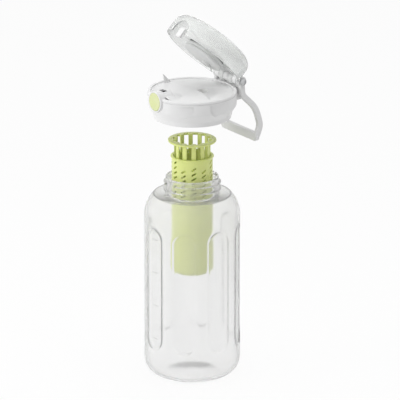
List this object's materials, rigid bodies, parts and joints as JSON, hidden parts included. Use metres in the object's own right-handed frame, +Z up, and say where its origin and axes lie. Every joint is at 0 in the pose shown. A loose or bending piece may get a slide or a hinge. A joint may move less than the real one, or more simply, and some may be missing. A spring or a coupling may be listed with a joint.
{
  "type": "fruit infuser water bottle",
  "caption": "Clear water bottle with a slotted fruit infuser, a twist-lock flip-top lid with a push button, and a swinging carry strap.",
  "frame": {"origin": "Centre of the bottle's base, on the surface it stands on.", "axes": "+Z up along the bottle's axis. The release button faces -Y, the hinge and the strap are at +Y, and X runs along the hinge pin."},
  "size_m": [0.092, 0.1098, 0.3575],
  "materials": {
    "clear_body": "clear hard plastic, polished",
    "green_gloss": "glossy lime green",
    "white_gloss": "glossy white",
    "white_satin": "satin white",
    "grey_satin": "satin dark grey",
    "cap_smoke": "pale translucent grey, polished",
    "grey_strap": "satin light grey",
    "seal_rubber": "soft translucent grey",
    "puck_rubber": "soft white",
    "steel_pin": "plain"
  },
  "bodies": {
    "bottle": {"bottle_body": "clear_body"},
    "infuser": {"infuser_basket": "green_gloss"},
    "crown": {"infuser_crown": "green_gloss"},
    "seal_ring": {"mouth_seal": "seal_rubber"},
    "lid": {"lid_shell": "white_gloss", "lid_deck": "white_gloss", "lock_sleeve": "white_satin", "latch_housing": "white_gloss", "button_bezel": "white_gloss", "button_spring": "steel_pin", "hinge_pin": "steel_pin", "pin_heads": "steel_pin"},
    "button": {"release_button": "green_gloss", "latch_slider": "white_satin"},
    "cap": {"cap_shell": "cap_smoke", "cap_frame": "white_satin", "stopper_carrier": "grey_satin", "stopper_puck": "puck_rubber", "stopper_knob": "puck_rubber", "cap_catch": "white_gloss"},
    "strap": {"carry_strap": "grey_strap"}
  },
  "joints": [
    {"name": "lid_lift", "type": "slide", "parent": "bottle", "child": "seal_ring", "axis": [0, 0, 1], "range_m": [-0.0761, 0]},
    {"name": "lid_turn", "type": "hinge", "parent": "seal_ring", "child": "lid", "pos_m": [0, 0, 0.25822], "axis": [0, 0, 1], "range_deg": [-90, 0]},
    {"name": "infuser_lift", "type": "slide", "parent": "bottle", "child": "infuser", "axis": [0, 0, 1], "range_m": [-0.03685, 0]},
    {"name": "crown_turn", "type": "hinge", "parent": "infuser", "child": "crown", "pos_m": [0, 0, 0.23362], "axis": [0, 0, 1], "range_deg": [-35, 0]},
    {"name": "button_press", "type": "slide", "parent": "lid", "child": "button", "axis": [0, 1, 0], "range_m": [0, 0.0018], "stiffness_N_per_m": 400, "springref_m": -0.004, "deforming": ["button_spring"]},
    {"name": "cap_flip", "type": "hinge", "parent": "lid", "child": "cap", "pos_m": [0, 0.0436, 0.29032], "axis": [-1, 0, 0], "range_deg": [-45.5, 38]},
    {"name": "strap_swing", "type": "hinge", "parent": "lid", "child": "strap", "pos_m": [0, 0.0436, 0.29032], "axis": [1, 0, 0], "range_deg": [-4, 62]}
  ],
  "couplings": [
    {"joint": "infuser_lift", "follows": "lid_lift", "ratio": 0.48423}
  ]
}
